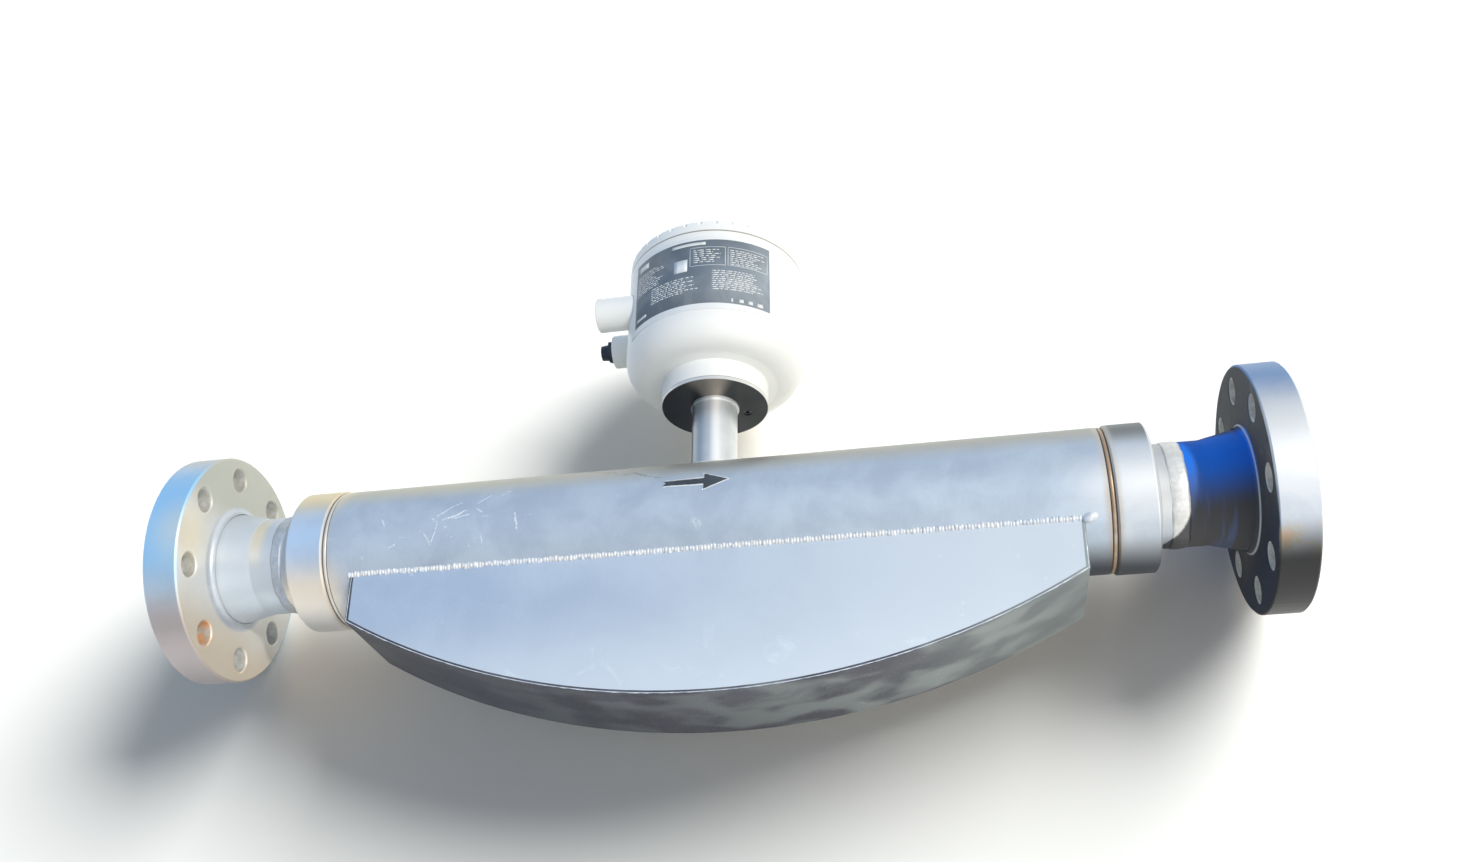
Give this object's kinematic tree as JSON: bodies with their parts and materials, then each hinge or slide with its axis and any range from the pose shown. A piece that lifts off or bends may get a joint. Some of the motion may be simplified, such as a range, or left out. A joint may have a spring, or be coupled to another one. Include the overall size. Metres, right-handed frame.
{
  "type": "coriolis flow meter",
  "caption": "Flanged mass flow meter with a bowed steel sensor case and a swivelling white transmitter head on a stem, under a screw lid with a window.",
  "frame": {"origin": "centre of the inlet flange's raised face, on the pipe axis", "axes": "+X along the pipe in the flow direction, towards the outlet; +Z from the pipe towards the transmitter head; +Y towards the rear plate of the case"},
  "size_m": [0.982, 0.2096, 0.4593],
  "materials": {
    "flange_steel": "machined stainless, stained round the holes",
    "case_steel": "satin stainless sheet and tube",
    "band_steel": "satin stainless, mottled",
    "weld_metal": "rippled weld bead with heat tint",
    "tube_metal": "bright drawn tube",
    "copper": "enamelled winding",
    "magnet": "plated magnet",
    "stem_steel": "satin stainless tube",
    "dark_steel": "dark brushed steel",
    "rubber": "matte",
    "cable_sheath": "matte",
    "head_paint": "white powder coat on cast aluminium",
    "plate": "printed plate with a white border",
    "black_plastic": "matte moulded",
    "board": "solder resist",
    "brass_hardware": "nickel plated",
    "glass": "clear float glass",
    "lcd": "display glass"
  },
  "bodies": {
    "case": {"inlet_flange": "flange_steel", "outlet_flange": "flange_steel", "neck_welds": "weld_metal", "inlet_manifold": "flange_steel", "outlet_manifold": "flange_steel", "ring_welds": "weld_metal", "housing_tube": "case_steel", "belly_front_plate": "case_steel", "belly_rear_plate": "case_steel", "belly_bottom_band": "band_steel", "belly_end_inlet": "case_steel", "belly_end_outlet": "case_steel", "seam_welds": "weld_metal", "measuring_tube_front": "tube_metal", "measuring_tube_rear": "tube_metal", "brace_plates": "tube_metal", "coil_brackets": "tube_metal", "drive_coil": "copper", "drive_magnet": "magnet", "pickoff_coils": "copper", "pickoff_magnets": "magnet", "temperature_sensor": "tube_metal", "stem": "stem_steel", "stem_weld": "weld_metal", "feedthrough": "dark_steel", "signal_cable": "cable_sheath", "neck_adapter": "dark_steel", "lock_screw": "dark_steel", "swivel_seal": "rubber", "retaining_ring": "stem_steel"},
    "head": {"head_housing": "head_paint", "nameplate": "plate", "rear_entry_plug": "black_plastic", "earth_screw": "stem_steel", "carrier_plate": "black_plastic", "board_spacers": "brass_hardware", "main_board": "board", "sensor_connector": "black_plastic", "shield_can": "stem_steel", "terminal_block": "black_plastic", "display_posts": "brass_hardware", "display_module": "black_plastic", "display_glass": "lcd"},
    "seal": {"lid_seal": "rubber"},
    "lid": {"lid": "head_paint", "lid_window": "glass", "window_ring": "black_plastic"}
  },
  "joints": [
    {"name": "head_swivel", "type": "hinge", "parent": "case", "child": "head", "pos_m": [0.491, 0, 0.15], "axis": [0, 0, 1], "range_deg": [-165, 165]},
    {"name": "lid_lift", "type": "slide", "parent": "head", "child": "seal", "axis": [0, 0, 1], "range_m": [0, 0.0181]},
    {"name": "lid_turn", "type": "hinge", "parent": "seal", "child": "lid", "pos_m": [0.491, 0, 0.28], "axis": [0, 0, 1], "range_deg": [0, 2160]}
  ],
  "couplings": [
    {"joint": "lid_lift", "follows": "lid_turn", "m_per_rad": 0.00047746}
  ]
}
